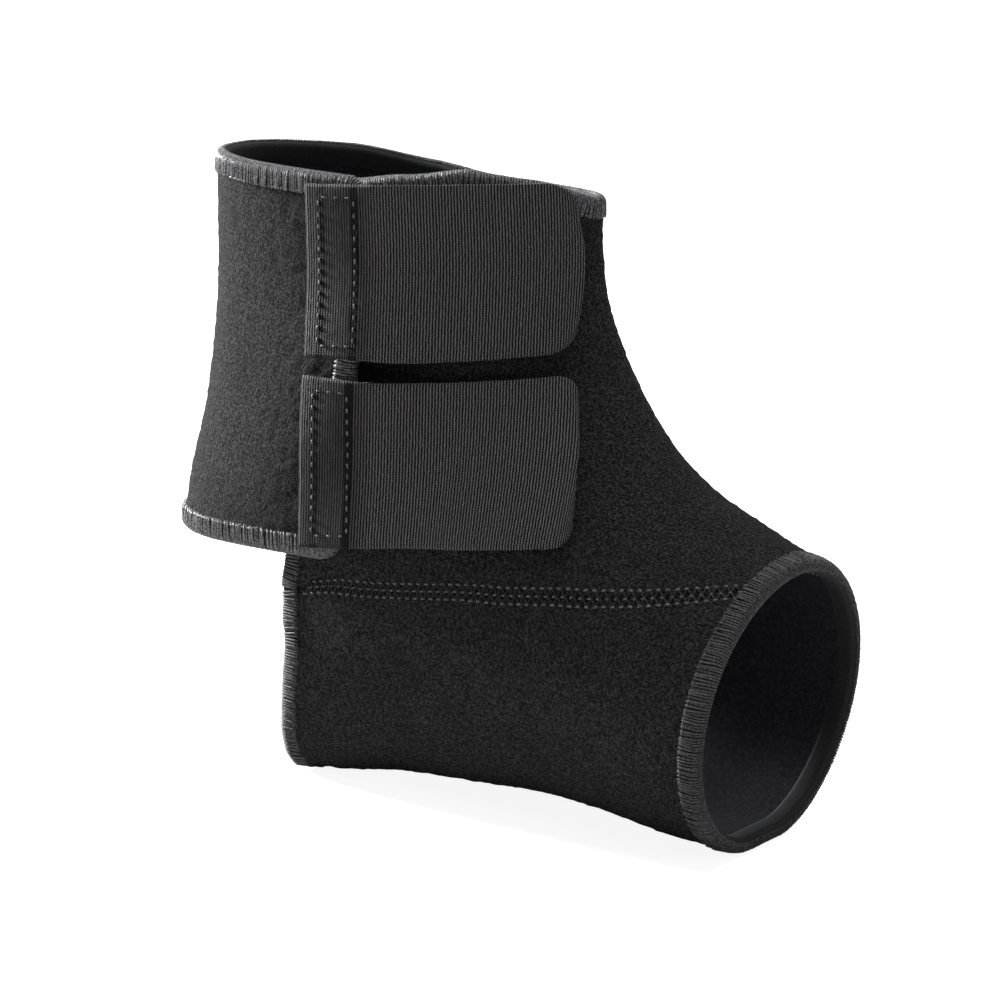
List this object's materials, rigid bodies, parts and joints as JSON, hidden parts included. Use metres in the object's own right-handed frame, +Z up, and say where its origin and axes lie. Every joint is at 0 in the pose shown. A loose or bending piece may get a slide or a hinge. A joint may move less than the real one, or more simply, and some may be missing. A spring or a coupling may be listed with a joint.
{
  "type": "ankle support",
  "caption": "Black wrap ankle support: open-heel foot tube and leg wrap of loop-faced foam laminate, closed by wide hook straps, with overlocked edges.",
  "frame": {"origin": "middle of the bounding box, on the floor under the ankle", "axes": "+X to the toes, +Y to the side away from the straps, +Z up the leg"},
  "size_m": [0.2056, 0.096, 0.186],
  "materials": {
    "pile_laminate": "matte",
    "hook_tape": "matte",
    "overlock_thread": "satin"
  },
  "bodies": {
    "root": {"upper_panel": "pile_laminate", "sole_panel": "pile_laminate", "upper_strap": "hook_tape", "lower_strap": "hook_tape", "front_rim_overlock": "overlock_thread", "heel_edge_overlock": "overlock_thread", "hem_overlock": "overlock_thread", "near_edge_overlock": "overlock_thread", "top_rim_overlock": "overlock_thread"}
  },
  "joints": []
}
